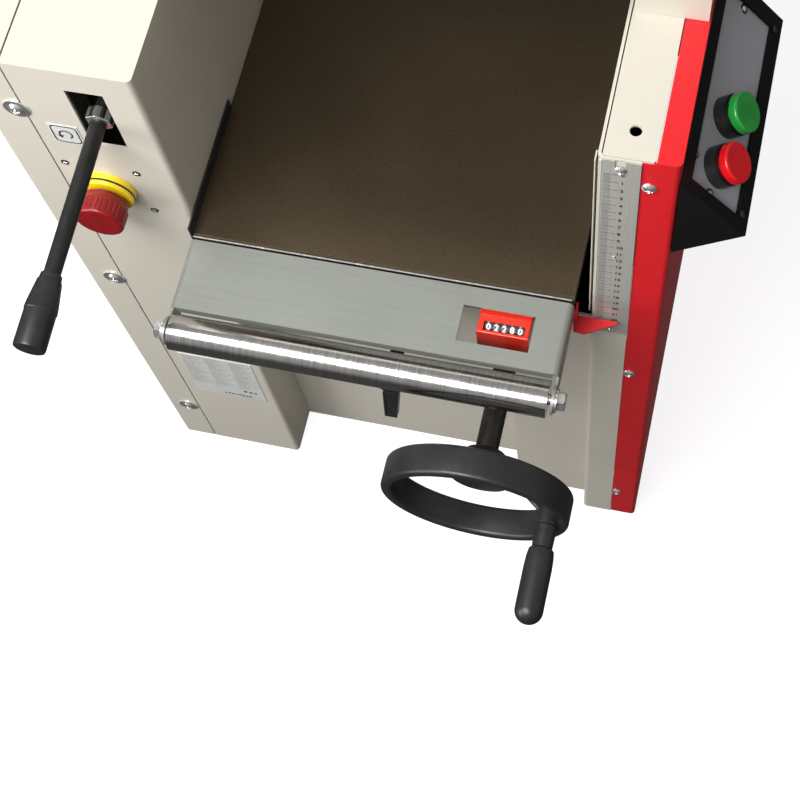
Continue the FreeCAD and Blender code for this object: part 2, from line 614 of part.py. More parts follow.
def build_counter():
    """Position counter on the handwheel shaft: housing and digit drums."""
    x0, x1 = 114.0, 153.5
    y0, y1 = FRONT - 45.5, FRONT - 24.0
    z0, z1 = 450.3, 514.5
    house = box(x0, x1, y0, y1, z0, z1)
    edges = [e for e in house.Edges if abs(e.BoundBox.ZMin - z1) < 0.01]
    house = house.makeFillet(1.2, edges)
    house = house.cut(rod((WHEEL_X, y0 - 1, WHEEL_Z), Y, y1 - y0 + 2, SLEEVE_RADIUS + 0.06))
    drum_y, drum_z, drum_r = FRONT - 34.8, 503.5, 9.0
    left, right = 118.5, 149.5
    pocket = rod((left, drum_y, drum_z), X, right - left, drum_r + 0.6)
    window = box(left, right, FRONT - 43.1, FRONT - 35.5, drum_z, z1 + 1)
    house = cut(house, pocket, window)
    house = house.cut(rod((left - 1.5, drum_y, drum_z), X, right - left + 3, 1.8))
    add("counter_housing", house)
    width, pitch = 5.5, 6.0
    drums = [tube((119.2 + k * pitch, drum_y, drum_z), X, width, drum_r, 1.8) for k in range(5)]
    axle = rod((left - 1.45, drum_y, drum_z), X, right - left + 2.9, 1.7)
    add("counter_drums", *drums[:4], axle)
    add("counter_last_drum", drums[4])


# ---------------------------------------------------------------- hand controls
def build_handwheel():
    """Dished handwheel with a revolving crank handle."""
    y_front, y_back = WHEEL_FRONT, WHEEL_FRONT + WHEEL_WIDTH
    rim = tube((WHEEL_X, y_front, WHEEL_Z), Y, WHEEL_WIDTH, WHEEL_RADIUS, WHEEL_RADIUS - 9)
    rim_edges = [e for e in rim.Edges if e.BoundBox.YLength < 0.01]
    rim = rim.makeFillet(2.8, rim_edges)
    hub = join(rod((WHEEL_X, y_back - 2, WHEEL_Z), Y, 12, 23),
               cone((WHEEL_X, y_back + 10, WHEEL_Z), Y, 12, 19, 15))
    pieces = [rim, hub]
    for angle in (CRANK_ANGLE, CRANK_ANGLE + math.pi):
        spoke = box(8, WHEEL_RADIUS - 5, y_back - 8, y_back, -8.5, 8.5)
        spoke.rotate(Vector(0, 0, 0), Y, -math.degrees(angle))
        spoke.translate(Vector(WHEEL_X, 0, WHEEL_Z))
        pieces.append(spoke)
    crank_x, crank_z = crank_place()
    boss = rod((crank_x, y_front - 0.5, crank_z), Y, WHEEL_WIDTH + 0.5, 8.5)
    pieces.append(boss)
    wheel = join(*pieces)
    wheel = wheel.cut(rod((WHEEL_X, y_front - 5, WHEEL_Z), Y, 80, SLEEVE_RADIUS))
    wheel = wheel.cut(rod((crank_x, y_front - 2, crank_z), Y, 24, 4))
    add("handwheel", wheel)

    collar = rod((crank_x, y_front - 19, crank_z), Y, 18, 7.2)
    spindle = join(rod((crank_x, y_front - 65, crank_z), Y, 85, 4), collar)
    add("crank_spindle", spindle)
    grip_start, grip_length = y_front - 19.4, 57.0
    barrel = cone((crank_x, grip_start, crank_z), -Y, 8, 9.6, 10.6)
    barrel = barrel.fuse(rod((crank_x, grip_start - 8, crank_z), -Y, grip_length - 18.4, 10.6))
    end = Part.makeSphere(10.6, Vector(crank_x, grip_start - grip_length + 10.4, crank_z))
    grip = join(barrel, end)
    grip = grip.cut(rod((crank_x, grip_start + 1, crank_z), -Y, 47.5, 4.05))
    add("crank_grip", grip)


def crank_place():
    """Axis of the crank handle, as X and Z."""
    radius = WHEEL_RADIUS - 16
    return WHEEL_X + radius * math.cos(CRANK_ANGLE), WHEEL_Z + radius * math.sin(CRANK_ANGLE)


def build_feed_lever():
    """Feed clutch lever: cross pivot, rod and grip."""
    x, pivot_y, pivot_z = -157.0, FRONT + 45.0, 658.0
    add("lever_pivot_bracket",
        box(-176, -171, FRONT + 25, FRONT + 65, 632, 684).cut(rod((-180, pivot_y, pivot_z), X, 12, 8.05)),
        box(-143, LEFT_INNER - SHEET - 0.1, FRONT + 25, FRONT + 65, 632, 684).cut(
            rod((-144, pivot_y, pivot_z), X, 40, 8.05)))
    tilt = math.radians(-3.6)
    along = Vector(0, -math.cos(tilt), math.sin(tilt))
    pivot = Vector(x, pivot_y, pivot_z)
    hub = join(rod((x - 11, pivot_y, pivot_z), X, 22, 13), rod((x - 19, pivot_y, pivot_z), X, 38, 8))
    hub = hub.cut(rod(tuple(pivot + along * 6), along, 20, 6))
    shaft = rod(tuple(pivot + along * 6.1), along, 166, 6)
    nut = hexagon(tuple(pivot + along * 36), along, 8, 17)
    add("feed_lever", hub, join(shaft, nut))
    grip_at = pivot + along * 160
    grip = join(cone(tuple(grip_at), along, 5, 7.6, 8.2),
                cone(tuple(grip_at + along * 5), along, 22, 8.2, 11.4),
                rod(tuple(grip_at + along * 27), along, 28, 11.4))
    tip = [e for e in grip.Edges if (e.CenterOfMass - (grip_at + along * 55)).Length < 0.1]
    grip = grip.makeFillet(2.0, tip)
    add("feed_lever_grip", grip.cut(rod(tuple(grip_at - along), along, 13.1, 6)))


def build_emergency_stop():
    """Mushroom stop button on the left column with its collar and contacts."""
    x, z = -174.5, 561.0
    collar = tube((x, FRONT - 0.1, z), -Y, 9, 20.5, 11.3)
    outer = [e for e in collar.Edges
             if e.BoundBox.YLength < 0.01 and abs(e.BoundBox.YMin - (FRONT - 9.1)) < 0.01
             and e.BoundBox.XLength > 40]
    add("stop_collar", collar.makeFillet(1.5, outer))
    reach = 32.0
    stem = rod((x, FRONT - 14.5, z), Y, 32, 11)
    head = join(rod((x, FRONT - 12.8, z), -Y, 3, 17.6), cone((x, FRONT - 15.8, z), -Y, 3, 17.6, 19.2),
                rod((x, FRONT - 18.8, z), -Y, reach - 18.8, 19.2))
    rim = [e for e in head.Edges
           if e.BoundBox.YLength < 0.01 and abs(e.BoundBox.YMin - (FRONT - reach)) < 0.01]
    head = head.makeFillet(2.6, rim)
    for k in range(30):
        angle = k * math.pi / 15
        flute = rod((x + 19.6 * math.cos(angle), FRONT - 16, z + 19.6 * math.sin(angle)), -Y, 12.5, 0.9)
        head = head.cut(flute)
    add("emergency_button", join(head, stem))
    block = box(x - 15, x + 15, FRONT + 2.1, FRONT + 42, z - 20, z + 20)
    add("stop_contact_block", block.cut(rod((x, FRONT + 2, z), Y, 24, 11.3)))


def build_control_box():
    """Black switch box on the right side with start and stop buttons."""
    y0, y1 = FRONT + 1.0, FRONT + 171.0
    wall = SIDE + 0.1
    nose, low, high, mid = SIDE + 46.6, 600.0, 695.0, 640.3
    outline = [(wall, low), (nose, mid), (wall, high)]
    shell = extrude_xz(outline, y0, y1)
    lean = math.radians(41)
    normal = Vector(math.cos(lean), 0, math.sin(lean))
    down = Vector(math.sin(lean), 0, -math.cos(lean))
    inner = extrude_xz([(wall - 1, low + 3.2), (nose - 3, mid), (wall - 1, high - 3.2)],
                       y0 + SHEET, y1 - SHEET)
    shell = shell.cut(inner)
    top = Vector(wall, 0, high)
    size = Vector(nose, 0, mid).sub(top).Length

    def on_panel(distance, y, height):
        """Point on the sloping panel: distance down from the wall, Y and height above it."""
        return top + down * distance + Vector(0, y, 0) + normal * height

    def slab(d0, d1, ya, yb, h0, h1):
        """Block lying on the sloping panel."""
        corners = [on_panel(d0, ya, h0), on_panel(d1, ya, h0), on_panel(d1, ya, h1), on_panel(d0, ya, h1)]
        face = Part.Face(Part.makePolygon(corners + corners[:1]))
        return face.extrude(Vector(0, yb - ya, 0))

    window = slab(10, size - 11, y0 + 9.5, y1 - 12, -8, 3)
    add("control_box", shell.cut(window))
    depth = 3.2
    plate = slab(8, size - 7, y0 + 6, y1 - 6, -depth - 2, -depth)
    mid_d = size / 2 - 1
    buttons = (("stop", FRONT + 33.0), ("start", FRONT + 71.0))
    collars = []
    for name, y in buttons:
        base = on_panel(mid_d, y, -depth)
        plate = plate.cut(rod(tuple(on_panel(mid_d, y, -8)), normal, 8, 11.2))
        collars.append(tube(tuple(base + normal * 0.05), normal, 9, 14.2, 10.6))
        cap = join(rod(tuple(base + normal * 12), normal, 5.6, 13.8),
                   rod(tuple(base - normal * 4), normal, 20, 10.2))
        rim = [e for e in cap.Edges if (e.CenterOfMass - (base + normal * 17.6)).Length < 0.1]
        add(name + "_button", cap.makeFillet(1.6, rim))
    add("control_plate", plate)
    add("button_collars", *collars)


def build_trim():
    """Scale, its fixings, cover screws, type plate and lever label."""
    scale = box(195.3, 220.2, FRONT - 1.0, FRONT - 0.05, 454, 714)
    slot = box(203.4, 210.4, FRONT - 2, FRONT, 704, 715)
    add("thickness_scale", scale.cut(slot))
    x_scale = 206.9
    screws = [pan_screw(x_scale, FRONT - 1.05, 704, 4.2, 2.6),
              pan_screw(x_scale, FRONT - 1.05, 583, 1.6, 0.8),
              pan_screw(x_scale, FRONT - 1.05, 463, 2.8, 1.6)]
    for x, z in ((226.1, 685.4), (225.3, 376.1), (224.5, 65.7)):
        screws.append(pan_screw(x, FRONT - 0.05, z, 5.2, 3.0))
    for x, z in ((-222.8, 85), (-219.5, 388.7), (-216.5, 660)):
        washer = tube((x, FRONT - 0.05, z), -Y, 1.2, 9.7, 3.0)
        screws.append(washer)
        screws.append(pan_screw(x, FRONT - 1.3, z, 6.4, 3.0))
    for x in (-202.5, -146.5):
        for z in (533, 589):
            screws.append(pan_screw(x, FRONT - 0.05, z, 2.6, 0.7))
    add("front_screws", *screws)

    type_plate = box(-200.5, -127.5, FRONT - 0.6, FRONT - 0.05, 140, 233)
    lever_label = box(-199.5, -176.5, FRONT - 0.5, FRONT - 0.05, 620.5, 645)
    add("labels", type_plate, lever_label)


def build_table_lock():
    """Clamp lever that locks the table height."""
    x, z = TABLE_MID, 370.0
    hub_y, hub_length = -328.0, 22.0
    spindle = rod((x, hub_y, z), Y, 253, 6)
    hub = tube((x, hub_y, z), Y, hub_length, 11, 6)
    arm = extrude_xz([(-8, 4), (8, 4), (5.4, -48), (-5.4, -48)], -4.5, 4.5)
    arm.rotate(Vector(0, 0, 0), X, -20)
    arm.translate(Vector(x, hub_y + hub_length / 2, z))
    lever = join(hub, arm).cut(rod((x, hub_y - 10, z), Y, 60, 6))
    add("table_lock_lever", lever, spindle)


def build_all():
    """Every sub-assembly in turn."""
    build_base()
    build_left_column()
    build_right_column()
    build_panels()
    build_head_castings()
    build_cutterhead()
    build_feed()
    build_kickback()
    build_hood()
    build_drive()
    build_table()
    build_pointer()
    build_lift()
    build_counter()
    build_handwheel()
    build_feed_lever()
    build_emergency_stop()
    build_control_box()
    build_trim()
    build_table_lock()


def export_all():
    """Write one STEP file per node."""
    os.makedirs("parts", exist_ok=True)
    for name, shape in NODES.items():
        shape.exportStep("parts/" + name + ".step")
        solids = len(shape.Solids)
        print(f"{name:24s} solids {solids:3d}  volume {shape.Volume:12.1f}  valid {shape.isValid()}")
    print(len(NODES), "nodes")


build_all()
export_all()
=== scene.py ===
"""Looks of the thickness planer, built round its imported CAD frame. Lengths are in metres."""
import math

import bmesh
import bpy
from mathutils import Matrix, Vector


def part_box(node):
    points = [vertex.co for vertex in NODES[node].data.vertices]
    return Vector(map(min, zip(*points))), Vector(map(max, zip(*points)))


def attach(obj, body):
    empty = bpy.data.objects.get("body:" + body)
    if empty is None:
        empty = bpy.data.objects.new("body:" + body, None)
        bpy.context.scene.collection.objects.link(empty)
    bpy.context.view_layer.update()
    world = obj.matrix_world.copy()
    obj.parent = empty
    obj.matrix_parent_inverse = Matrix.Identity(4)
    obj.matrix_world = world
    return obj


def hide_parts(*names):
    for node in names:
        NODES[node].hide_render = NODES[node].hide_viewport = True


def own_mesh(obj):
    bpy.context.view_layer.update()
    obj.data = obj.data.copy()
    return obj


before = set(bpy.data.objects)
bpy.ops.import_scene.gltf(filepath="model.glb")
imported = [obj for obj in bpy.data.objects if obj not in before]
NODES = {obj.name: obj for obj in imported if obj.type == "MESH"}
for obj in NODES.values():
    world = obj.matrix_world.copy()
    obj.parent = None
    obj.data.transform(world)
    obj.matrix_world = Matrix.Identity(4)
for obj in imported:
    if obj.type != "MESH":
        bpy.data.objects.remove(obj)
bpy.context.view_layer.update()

MM = 0.001
X, Y, Z = Vector((1, 0, 0)), Vector((0, 1, 0)), Vector((0, 0, 1))

# ------------------------------------------------------------------ places read from the frame
COLUMN_LOW, COLUMN_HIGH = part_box("right_column")
COVER_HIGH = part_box("right_side_cover")[1]
SCALE_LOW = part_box("thickness_scale")[0]
TABLE_LOW, TABLE_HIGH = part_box("table")
FRONT = COLUMN_LOW.y
# The guide column ends 14 mm below the table's working face.
TABLE_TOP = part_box("guide_column")[1].z + 14 * MM


def centre(node):
    """Middle of a CAD node's box."""
    low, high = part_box(node)
    return (low + high) / 2


# ------------------------------------------------------------------ material helpers
def shader_of(name, colour, roughness, metallic=0.0, coat=0.0, specular=0.5):
    """New material whose even values sit on the Principled shader itself."""
    material = bpy.data.materials.new(name)
    material.use_nodes = True
    shader = material.node_tree.nodes["Principled BSDF"]
    shader.inputs["Base Color"].default_value = (*colour, 1)
    shader.inputs["Roughness"].default_value = roughness
    shader.inputs["Metallic"].default_value = metallic
    shader.inputs["Coat Weight"].default_value = coat
    shader.inputs["Coat Roughness"].default_value = 0.15
    shader.inputs["Specular IOR Level"].default_value = specular
    return material


def noise(material, scale, detail=3.0, stretch=(1, 1, 1), rough=0.5):
    """Noise texture in the object's own metres, stretched along its axes."""
    tree = material.node_tree
    place = tree.nodes.new("ShaderNodeTexCoord")
    mapping = tree.nodes.new("ShaderNodeMapping")
    mapping.inputs["Scale"].default_value = stretch
    texture = tree.nodes.new("ShaderNodeTexNoise")
    texture.inputs["Scale"].default_value = scale
    texture.inputs["Detail"].default_value = detail
    texture.inputs["Roughness"].default_value = rough
    tree.links.new(place.outputs["Object"], mapping.inputs["Vector"])
    tree.links.new(mapping.outputs["Vector"], texture.inputs["Vector"])
    return texture.outputs["Fac"]


def ramp(material, source, stops):
    """Colour ramp; stops are (position, colour)."""
    node = material.node_tree.nodes.new("ShaderNodeValToRGB")
    elements = node.color_ramp.elements
    while len(elements) < len(stops):
        elements.new(0.5)
    for element, (position, colour) in zip(elements, stops):
        element.position = position
        element.color = (*colour, 1)
    material.node_tree.links.new(source, node.inputs["Fac"])
    return node.outputs["Color"]


def vary_colour(material, source, low, high, span=(0.3, 0.7)):
    """Base colour that drifts between two colours with the source."""
    shader = material.node_tree.nodes["Principled BSDF"]
    colour = ramp(material, source, [(span[0], low), (span[1], high)])
    material.node_tree.links.new(colour, shader.inputs["Base Color"])


def vary_roughness(material, source, low, high):
    """Roughness that drifts between two values with the source."""
    tree = material.node_tree
    node = tree.nodes.new("ShaderNodeMapRange")
    node.inputs["From Min"].default_value = 0.3
    node.inputs["From Max"].default_value = 0.7
    node.inputs["To Min"].default_value = low
    node.inputs["To Max"].default_value = high
    tree.links.new(source, node.inputs["Value"])
    tree.links.new(node.outputs["Result"], tree.nodes["Principled BSDF"].inputs["Roughness"])


def bump(material, source, strength, height):
    """Surface relief from the source."""
    tree = material.node_tree
    node = tree.nodes.new("ShaderNodeBump")
    node.inputs["Strength"].default_value = strength
    node.inputs["Distance"].default_value = height
    tree.links.new(source, node.inputs["Height"])
    tree.links.new(node.outputs["Normal"], tree.nodes["Principled BSDF"].inputs["Normal"])


# ------------------------------------------------------------------ materials
def powder_coat(name, low, high, roughness, coat, specular=0.5):
    """Baked paint: slow drift of colour and a fine orange-peel relief."""
    material = shader_of(name, high, roughness, coat=coat, specular=specular)
    vary_colour(material, noise(material, 3, 2), low, high)
    vary_roughness(material, noise(material, 30, 4), roughness - 0.05, roughness + 0.05)
    bump(material, noise(material, 900, 2), 0.12, 0.0003)
    return material


def beige_paint():
    """Warm light beige of the body sheets."""
    return powder_coat("beige_paint", (0.570, 0.535, 0.458), (0.595, 0.560, 0.480), 0.42, 0.05)


def red_paint():
    """Bright red of the right cover and the pointer."""
    return powder_coat("red_paint", (0.62, 0.010, 0.015), (0.66, 0.012, 0.017), 0.38, 0.08)


def black_paint():
    """Black paint of the switch box and the small brackets."""
    return powder_coat("black_paint", (0.004, 0.004, 0.004), (0.007, 0.007, 0.007), 0.42, 0.0, 0.15)


def lever_black():
    """Blackened steel rod with worn, slightly lighter streaks."""
    material = shader_of("lever_black", (0.02, 0.02, 0.02), 0.35, metallic=0.3)
    streaks = noise(material, 60, 6, stretch=(1, 0.12, 1), rough=0.7)
    vary_colour(material, streaks, (0.007, 0.007, 0.007), (0.038, 0.037, 0.035), (0.35, 0.85))
    vary_roughness(material, noise(material, 200, 3), 0.30, 0.48)
    bump(material, noise(material, 500, 3), 0.2, 0.0003)
    return material


def casting_paint():
    """Grey painted iron casting."""
    material = shader_of("casting_paint", (0.10, 0.105, 0.11), 0.55)
    vary_colour(material, noise(material, 25, 5), (0.075, 0.08, 0.085), (0.125, 0.13, 0.135))
    bump(material, noise(material, 260, 5, rough=0.7), 0.5, 0.0012)
    return material


def polished_iron():
    """Planer table: ground iron with a brown cast, fine speckle and faint grinding lines."""
    material = shader_of("polished_iron", (0.12, 0.095, 0.065), 0.30, metallic=0.75)
    speckle = noise(material, 1400, 4, stretch=(0.7, 1, 1), rough=0.75)
    vary_colour(material, speckle, (0.068, 0.050, 0.031), (0.160, 0.120, 0.074), (0.30, 0.72))
    vary_roughness(material, noise(material, 14, 5), 0.27, 0.36)
    bump(material, noise(material, 500, 4, stretch=(0.08, 1, 1)), 0.10, 0.0002)
    return material


def galvanised():
    """Brushed zinc sheet, grey with a green cast, brushed across the table."""
    material = shader_of("galvanised", (0.33, 0.35, 0.33), 0.42, metallic=0.5)
    brushed = noise(material, 900, 6, stretch=(0.015, 1, 1), rough=0.8)
    vary_colour(material, brushed, (0.300, 0.315, 0.285), (0.352, 0.370, 0.338))
    vary_roughness(material, noise(material, 18, 4), 0.36, 0.46)
    bump(material, brushed, 0.12, 0.0002)
    return material


def turned_steel():
    """Bright roller steel with fine lines round it."""
    material = shader_of("turned_steel", (0.60, 0.585, 0.565), 0.16, metallic=1.0)
    lines = noise(material, 900, 3, stretch=(1, 0.05, 0.05), rough=0.6)
    vary_colour(material, lines, (0.50, 0.485, 0.465), (0.66, 0.645, 0.625))
    vary_roughness(material, lines, 0.12, 0.22)
    bump(material, lines, 0.06, 0.0001)
    return material


def chrome():
    """Bright plated screws and bolts with faint wear."""
    material = shader_of("chrome", (0.84, 0.84, 0.83), 0.22, metallic=0.9)
    wear = noise(material, 300, 2)
    vary_colour(material, wear, (0.76, 0.76, 0.75), (0.88, 0.88, 0.88))
    vary_roughness(material, wear, 0.18, 0.28)
    return material


def dark_steel():
    """Black-oxide steel of shafts and screws."""
    material = shader_of("dark_steel", (0.020, 0.019, 0.018), 0.38, metallic=0.4)
    vary_colour(material, noise(material, 120, 5), (0.012, 0.011, 0.010), (0.034, 0.032, 0.029))
    vary_roughness(material, noise(material, 90, 4), 0.32, 0.48)
    return material


def scale_metal():
    """Satin aluminium of the thickness scale."""
    material = shader_of("scale_metal", (0.44, 0.43, 0.39), 0.30, metallic=0.2)
    grain = noise(material, 600, 4, stretch=(1, 1, 0.05), rough=0.7)
    vary_colour(material, grain, (0.40, 0.39, 0.355), (0.46, 0.45, 0.41))
    bump(material, grain, 0.08, 0.0001)
    return material


def rubber():
    """Matt black rubber of the belt."""
    material = shader_of("rubber", (0.02, 0.02, 0.02), 0.8)
    vary_colour(material, noise(material, 80, 4), (0.013, 0.013, 0.013), (0.03, 0.03, 0.03))
    bump(material, noise(material, 700, 3), 0.3, 0.0004)
    return material


def moulded(name, low, high, roughness, grain=0.12, coat=0.0):
    """Moulded plastic with a fine spark-eroded grain."""
    material = shader_of(name, high, roughness, coat=coat)
    vary_colour(material, noise(material, 40, 4), low, high)
    vary_roughness(material, noise(material, 150, 3), roughness - 0.05, roughness + 0.06)
    bump(material, noise(material, 1300, 2), grain, 0.0003)
    return material


def print_ink():
    """Black printing ink."""
    material = shader_of("print_ink", (0.012, 0.012, 0.012), 0.5)
    vary_colour(material, noise(material, 300, 2), (0.008, 0.008, 0.008), (0.02, 0.02, 0.02))
    return material


def grey_ink():
    """Grey printing ink of the fine lines on the type plate."""
    material = shader_of("grey_ink", (0.16, 0.16, 0.16), 0.5)
    vary_colour(material, noise(material, 500, 3), (0.11, 0.11, 0.11), (0.26, 0.26, 0.26))
    return material


def label_film():
    """Printed label film, pale silver grey."""
    material = shader_of("label_film", (0.62, 0.62, 0.60), 0.35, coat=0.2)
    vary_colour(material, noise(material, 60, 3), (0.58, 0.58, 0.56), (0.66, 0.66, 0.64))
    return material


def panel_grey():
    """Satin blue-grey button plate."""
    return powder_coat("panel_grey", (0.30, 0.30, 0.325), (0.37, 0.37, 0.395), 0.42, 0.05)


# Materials by name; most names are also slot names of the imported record.
MAT = {
    "beige_paint": beige_paint(),
    "red_paint": red_paint(),
    "black_paint": black_paint(),
    "lever_black": lever_black(),
    "grey_casting": casting_paint(),
    "ground_iron": polished_iron(),
    "galvanised": galvanised(),
    "bright_steel": turned_steel(),
    "chrome": chrome(),
    "dark_steel": dark_steel(),
    "scale_aluminium": scale_metal(),
    "belt_rubber": rubber(),
    "black_plastic": moulded("black_plastic", (0.010, 0.010, 0.010), (0.020, 0.020, 0.020), 0.36),
    "wheel_plastic": moulded("wheel_plastic", (0.012, 0.012, 0.0125), (0.021, 0.021, 0.0215), 0.36, 0.35),
    "counter_red": moulded("counter_red", (0.62, 0.022, 0.008), (0.74, 0.032, 0.012), 0.22, 0.05, 0.4),
    "counter_black": moulded("counter_black", (0.018, 0.018, 0.02), (0.035, 0.035, 0.04), 0.4),
    "collar_yellow": moulded("collar_yellow", (0.80, 0.56, 0.01), (0.90, 0.66, 0.015), 0.30, 0.06, 0.3),
    "stop_red": moulded("stop_red", (0.20, 0.002, 0.003), (0.27, 0.004, 0.005), 0.34, 0.10, 0.1),
    "button_red": moulded("button_red", (0.62, 0.004, 0.008), (0.70, 0.005, 0.010), 0.30, 0.05, 0.15),
    "start_green": moulded("start_green", (0.012, 0.24, 0.03), (0.02, 0.32, 0.05), 0.26, 0.05, 0.4),
    "panel_grey": panel_grey(),
    "label_white": label_film(),
    "ink": print_ink(),
    "print_grey": grey_ink(),
    "digit_white": moulded("digit_white", (0.78, 0.78, 0.76), (0.86, 0.86, 0.84), 0.5, 0.05),
}

# CAD nodes whose finish differs from the usual one of their slot.
SPECIAL = {"feed_lever": "lever_black", "stop_button": "button_red"}


def dress_frame():
    """Gives every CAD node the material of its slot in the record."""
    for name, node in NODES.items():
        slot_name = node_slot(name)
        material = MAT[SPECIAL.get(name, slot_name)]
        node.data.materials.clear()
        node.data.materials.append(material)


def node_slot(name):
    """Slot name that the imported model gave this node's own material."""
    for slot in NODES[name].material_slots:
        if slot.material is not None:
            return slot.material.name.split(".")[0]
    return "beige_paint"


# ------------------------------------------------------------------ mesh helpers
def piece(name, mesh, material, body, angle=35.0):
    """Links a finished mesh as a piece that rides on a body."""
    obj = bpy.data.objects.new(name, mesh)
    bpy.context.scene.collection.objects.link(obj)
    mesh.materials.append(MAT[material])
    mesh.shade_smooth()
    mesh.set_sharp_from_angle(angle=math.radians(angle))
    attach(obj, body)
    return obj


def mesh_from(name, build):
    """Mesh made by a function that fills a bmesh."""
    work = bmesh.new()
    build(work)
    bmesh.ops.recalc_face_normals(work, faces=work.faces)
    mesh = bpy.data.meshes.new(name)
    work.to_mesh(mesh)
    work.free()
    return mesh


def basis(direction):
    """Two unit vectors at right angles to a direction."""
    direction = direction.normalized()
    helper = Z if abs(direction.z) < 0.9 else X
    side = helper.cross(direction).normalized()
    return side, direction.cross(side)


def lathe(work, start, direction, profile, steps=64):
    """Turned solid. The profile is (distance along the axis, radius) from one end to the other."""
    no_radius = 1e-7
    direction = Vector(direction).normalized()
    side, up = basis(direction)
    rings = []
    for along, radius in profile:
        middle = Vector(start) + direction * along
        if radius < no_radius:
            rings.append([work.verts.new(middle)])
            continue
        ring = []
        for k in range(steps):
            angle = 2 * math.pi * k / steps
            sideways = middle + side * (radius * math.cos(angle))
            ring.append(work.verts.new(sideways + up * (radius * math.sin(angle))))
        rings.append(ring)
    for first, second in zip(rings, rings[1:]):
        for k in range(steps):
            following = (k + 1) % steps
            if len(first) == 1:
                work.faces.new((first[0], second[k], second[following]))
            elif len(second) == 1:
                work.faces.new((first[k], first[following], second[0]))
            else:
                work.faces.new((first[k], first[following], second[following], second[k]))
    for ring in (rings[0], rings[-1]):
        if len(ring) > 1:
            work.faces.new(ring)


def lathe_mm(work, start, direction, profile_mm, steps):
    """Turned solid whose profile is given in millimetres."""
    lathe(work, start, direction, [(along * MM, radius * MM) for along, radius in profile_mm], steps)


def ring_band(work, centre_point, direction, section, steps=72):
    """Closed ring. The section is (offset along the axis, radius), a closed loop."""
    direction = Vector(direction).normalized()
    side, up = basis(direction)
    loops = []
    for k in range(steps):
        angle = 2 * math.pi * k / steps
        out = side * math.cos(angle) + up * math.sin(angle)
        points = [Vector(centre_point) + direction * along + out * radius for along, radius in section]
        loops.append([work.verts.new(point) for point in points])
    for k in range(steps):
        first, second = loops[k], loops[(k + 1) % steps]
        for i in range(len(section)):
            j = (i + 1) % len(section)
            work.faces.new((first[i], first[j], second[j], second[i]))


def join_rings(work, rings):
    """Skin over rings of equal length, closed at both ends."""
    for first, second in zip(rings, rings[1:]):
        for i in range(len(first)):
            j = (i + 1) % len(first)
            work.faces.new((first[i], first[j], second[j], second[i]))
    work.faces.new(rings[0])
    work.faces.new(rings[-1][::-1])


def block(work, low, high):
    """Axis-aligned box in a bmesh."""
    (x0, y0, z0), (x1, y1, z1) = low, high
    points = [(x, y, z) for z in (z0, z1) for y in (y0, y1) for x in (x0, x1)]
    corners = [work.verts.new(point) for point in points]
    for face in ((0, 1, 3, 2), (4, 6, 7, 5), (0, 4, 5, 1), (2, 3, 7, 6), (0, 2, 6, 4), (1, 5, 7, 3)):
        work.faces.new([corners[i] for i in face])


def prism(work, outline, direction):
    """Prism from a closed outline of points, pushed along a direction."""
    first = [work.verts.new(p) for p in outline]
    second = [work.verts.new(Vector(p) + Vector(direction)) for p in outline]
    work.faces.new(first)
    work.faces.new(second[::-1])
    for i in range(len(first)):
        j = (i + 1) % len(first)
        work.faces.new((first[i], first[j], second[j], second[i]))


def arc(centre_uv, radius, start, end, steps):
    """Points of an arc in a plane, angles in degrees."""
    points = []
    for k in range(steps + 1):
        angle = math.radians(start + (end - start) * k / steps)
        points.append((centre_uv[0] + radius * math.cos(angle), centre_uv[1] + radius * math.sin(angle)))
    return points


def rounded(half_u, half_v, radius, steps=6):
    """Outline of a rectangle with round corners, about its own middle."""
    points = []
    for su, sv, start in ((1, 1, 0), (-1, 1, 90), (-1, -1, 180), (1, -1, 270)):
        points += arc((su * (half_u - radius), sv * (half_v - radius)), radius, start, start + 90, steps)
    return points


def bevelled(obj, width, segments=3):
    """Rounds the sharp edges of a piece."""
    modifier = obj.modifiers.new("bevel", "BEVEL")
    modifier.width = width
    modifier.segments = segments
    modifier.limit_method = "ANGLE"
    modifier.angle_limit = math.radians(30)
    modifier.harden_normals = True


def text_mesh(text, height, depth, bolder=0.0, align="CENTER"):
    """Flat text in the XY plane as a mesh; bolder widens its strokes."""
    size_per_height = 1.38
    curve = bpy.data.curves.new("text", "FONT")
    curve.body = text
    curve.align_x = align
    curve.align_y = "CENTER"
    curve.size = height * size_per_height
    curve.extrude = depth
    curve.offset = bolder
    curve.resolution_u = 3
    carrier = bpy.data.objects.new("text", curve)
    bpy.context.scene.collection.objects.link(carrier)
    bpy.context.view_layer.update()
    mesh = bpy.data.meshes.new_from_object(carrier.evaluated_get(bpy.context.evaluated_depsgraph_get()))
    bpy.data.objects.remove(carrier)
    bpy.data.curves.remove(curve)
    return mesh


def add_mesh(work, mesh, place):
    """Adds a mesh to a bmesh; place turns each of its points into a point of the frame."""
    start = len(work.verts)
    work.from_mesh(mesh)
    work.verts.ensure_lookup_table()
    for vert in work.verts[start:]:
        vert.co = place(vert.co)
    bpy.data.meshes.remove(mesh)


# ------------------------------------------------------------------ thickness scale
SCALE_ZERO = 0.6975  # height of the zero mark
SCALE_FACE = SCALE_LOW.y
SCALE_LEFT = SCALE_LOW.x
SCALE_MM = 222  # millimetres marked on the scale


def mark_size(k):
    """Length and half width of the mark at k millimetres."""
    if k % 10 == 0:
        return 10.0 * MM, 0.17 * MM
    if k % 5 == 0:
        return 6.6 * MM, 0.08 * MM
    return 5.0 * MM, 0.05 * MM


